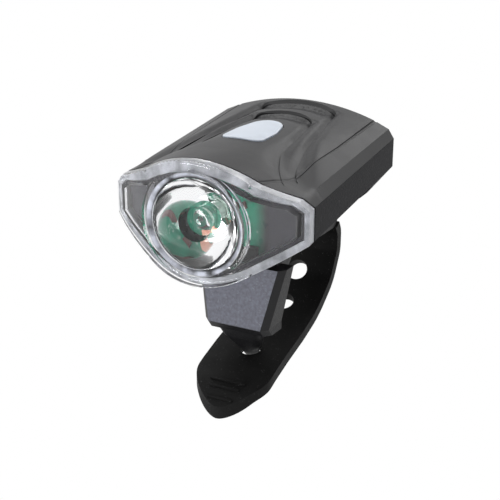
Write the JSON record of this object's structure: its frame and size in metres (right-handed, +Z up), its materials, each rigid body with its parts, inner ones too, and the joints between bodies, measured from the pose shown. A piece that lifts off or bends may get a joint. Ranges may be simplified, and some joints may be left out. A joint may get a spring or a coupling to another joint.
{
  "type": "bike headlight",
  "caption": "Rechargeable bicycle headlight with a winged clear window, a collimator lens, a top button, a swivel bracket and a silicone strap hooked round the handlebar.",
  "frame": {"origin": "on the handlebar's axis, in the middle of the bracket's saddle", "axes": "+X along the handlebar, -Y is the way the lamp shines, +Z up"},
  "size_m": [0.046, 0.0604, 0.0646],
  "materials": {
    "cover_satin": "satin dark grey-black moulded plastic",
    "case_textured": "fine spark-eroded texture, black",
    "window_clear": "clear polished polycarbonate",
    "lens_clear": "clear polished optical plastic",
    "seal_rubber": "matte black rubber",
    "bezel_dark": "matte black",
    "led_yellow": "phosphor yellow under a clear dome",
    "board_green": "green solder mask",
    "aluminium_plate": "plain",
    "chip_dark": "moulded",
    "copper_pads": "bare copper",
    "switch_white": "moulded",
    "capacitor_tan": "moulded",
    "steel_bright": "plated",
    "steel_dark": "black oxide",
    "silicone_black": "matte black silicone",
    "silicone_pale": "pale translucent silicone",
    "cell_silver": "foil pouch",
    "wire_red": "insulation",
    "wire_black": "insulation",
    "bracket_textured": "fine texture, dark grey"
  },
  "bodies": {
    "bracket": {"bracket": "bracket_textured", "saddle_pad": "seal_rubber", "strap_pin": "steel_bright", "swivel_screw": "steel_dark", "swivel_washer": "steel_bright"},
    "button": {"power_button": "silicone_pale"},
    "plunger": {"switch_plunger": "switch_white"},
    "usb_flap": {"usb_flap": "silicone_black"},
    "strap": {"strap": "silicone_black"},
    "lamp": {"top_cover": "cover_satin", "bottom_case": "case_textured", "front_cover": "window_clear", "front_seal": "seal_rubber", "inner_bezel": "bezel_dark", "tir_lens": "lens_clear", "led_emitter": "led_yellow", "led_board": "board_green", "heatsink_plate": "aluminium_plate", "led_chips": "chip_dark", "copper_strips": "copper_pads", "main_board": "board_green", "tactile_switch": "chip_dark", "status_leds": "led_yellow", "driver_chip": "chip_dark", "inductor": "chip_dark", "capacitors": "capacitor_tan", "usb_socket": "steel_bright", "battery_cell": "cell_silver", "battery_pad": "seal_rubber", "battery_wire_red": "wire_red", "battery_wire_black": "wire_black", "led_wires": "wire_black", "case_screws": "steel_dark", "board_screws": "steel_dark"}
  },
  "joints": [
    {"name": "lamp_swivel", "type": "hinge", "parent": "bracket", "child": "lamp", "pos_m": [0, 0, 0.016], "axis": [0, 0, 1], "range_deg": [-35, 35]},
    {"name": "button_press", "type": "slide", "parent": "lamp", "child": "button", "axis": [0, 0, -1], "range_m": [0, 0.0005], "stiffness_N_per_m": 1500},
    {"name": "plunger_press", "type": "slide", "parent": "lamp", "child": "plunger", "axis": [0, 0, -1], "range_m": [0, 0.0005]},
    {"name": "flap_hinge", "type": "hinge", "parent": "lamp", "child": "usb_flap", "pos_m": [0, 0.0198, 0.0264], "axis": [-1, 0, 0], "range_deg": [0, 90], "stiffness_Nm_per_rad": 0.0005},
    {"name": "strap_swing", "type": "hinge", "parent": "bracket", "child": "strap", "pos_m": [0, 0.0175, 0.0111], "axis": [1, 0, 0], "range_deg": [0, 75]}
  ],
  "couplings": [
    {"joint": "plunger_press", "follows": "button_press", "ratio": 1}
  ]
}
